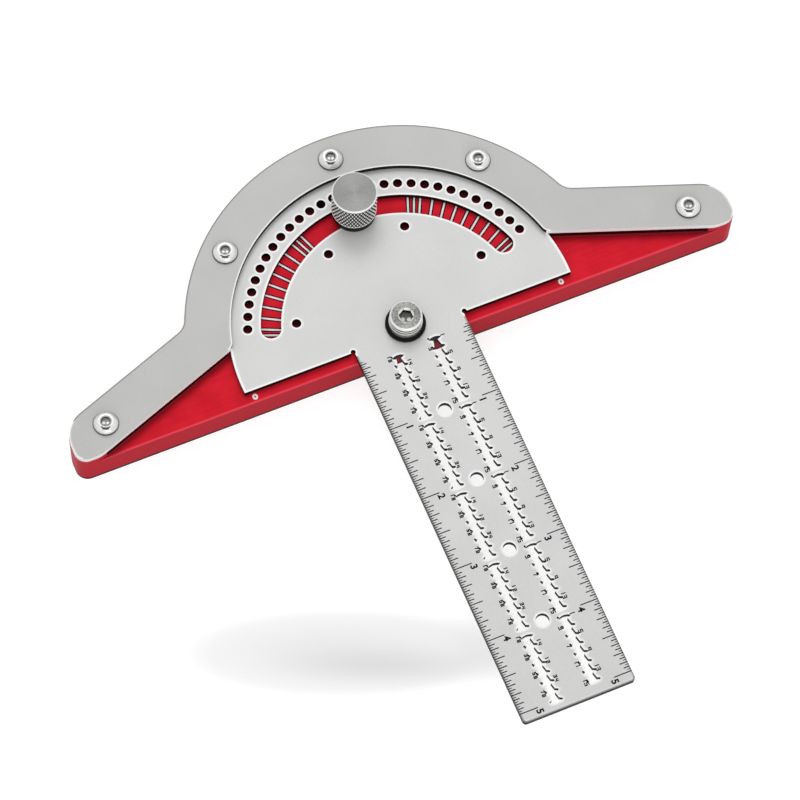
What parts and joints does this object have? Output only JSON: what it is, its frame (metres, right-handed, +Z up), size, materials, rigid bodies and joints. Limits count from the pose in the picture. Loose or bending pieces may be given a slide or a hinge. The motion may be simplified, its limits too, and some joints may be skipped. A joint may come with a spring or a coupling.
{
  "type": "angle finder",
  "caption": "Angle finder: a flat-backed fence with an arc and two arms, a half-round head with a slotted rule blade that turns on a pivot, and a knurled lock knob.",
  "frame": {"origin": "on the flat underside of the fence base, directly below the pivot axis of the blade", "axes": "+X along the fence, to the right as seen from above with the blade towards the viewer; +Y from the pivot towards the top of the arc; +Z up, out of the face that carries the blade"},
  "size_m": [0.2264, 0.2067, 0.028],
  "materials": {
    "red_anodised": "red anodised, satin",
    "satin_band": "bead-blasted satin",
    "satin_plate": "bead-blasted satin, graduations filled black",
    "bright_steel": "bright",
    "turned_steel": "turned, knurled sides",
    "bronze": "machined",
    "insert_steel": "machined",
    "black_polymer": "matte black"
  },
  "bodies": {
    "fence": {"fence_base": "red_anodised", "cover_band": "satin_band", "band_screws": "bright_steel", "pivot_bush": "bronze", "pivot_insert": "insert_steel", "pivot_screw": "bright_steel", "thrust_washer": "black_polymer", "steel_washer": "bright_steel", "lock_insert": "insert_steel"},
    "blade": {"blade_plate": "satin_plate"},
    "clamp": {"clamp_pad": "black_polymer", "knob_shim": "bright_steel"},
    "knob": {"lock_knob": "turned_steel", "lock_stud": "bright_steel"}
  },
  "joints": [
    {"name": "blade_swing", "type": "hinge", "parent": "fence", "child": "blade", "pos_m": [0, 0, 0.01255], "axis": [0, 0, 1], "range_deg": [-70, 70]},
    {"name": "knob_lift", "type": "slide", "parent": "fence", "child": "clamp", "axis": [0, 0, 1], "range_m": [0, 0.001]},
    {"name": "knob_turn", "type": "hinge", "parent": "clamp", "child": "knob", "pos_m": [0, 0.0426, 0.022], "axis": [0, 0, 1], "range_deg": [0, 360]}
  ],
  "couplings": [
    {"joint": "knob_turn", "follows": "knob_lift", "rad_per_m": 6283.2}
  ]
}
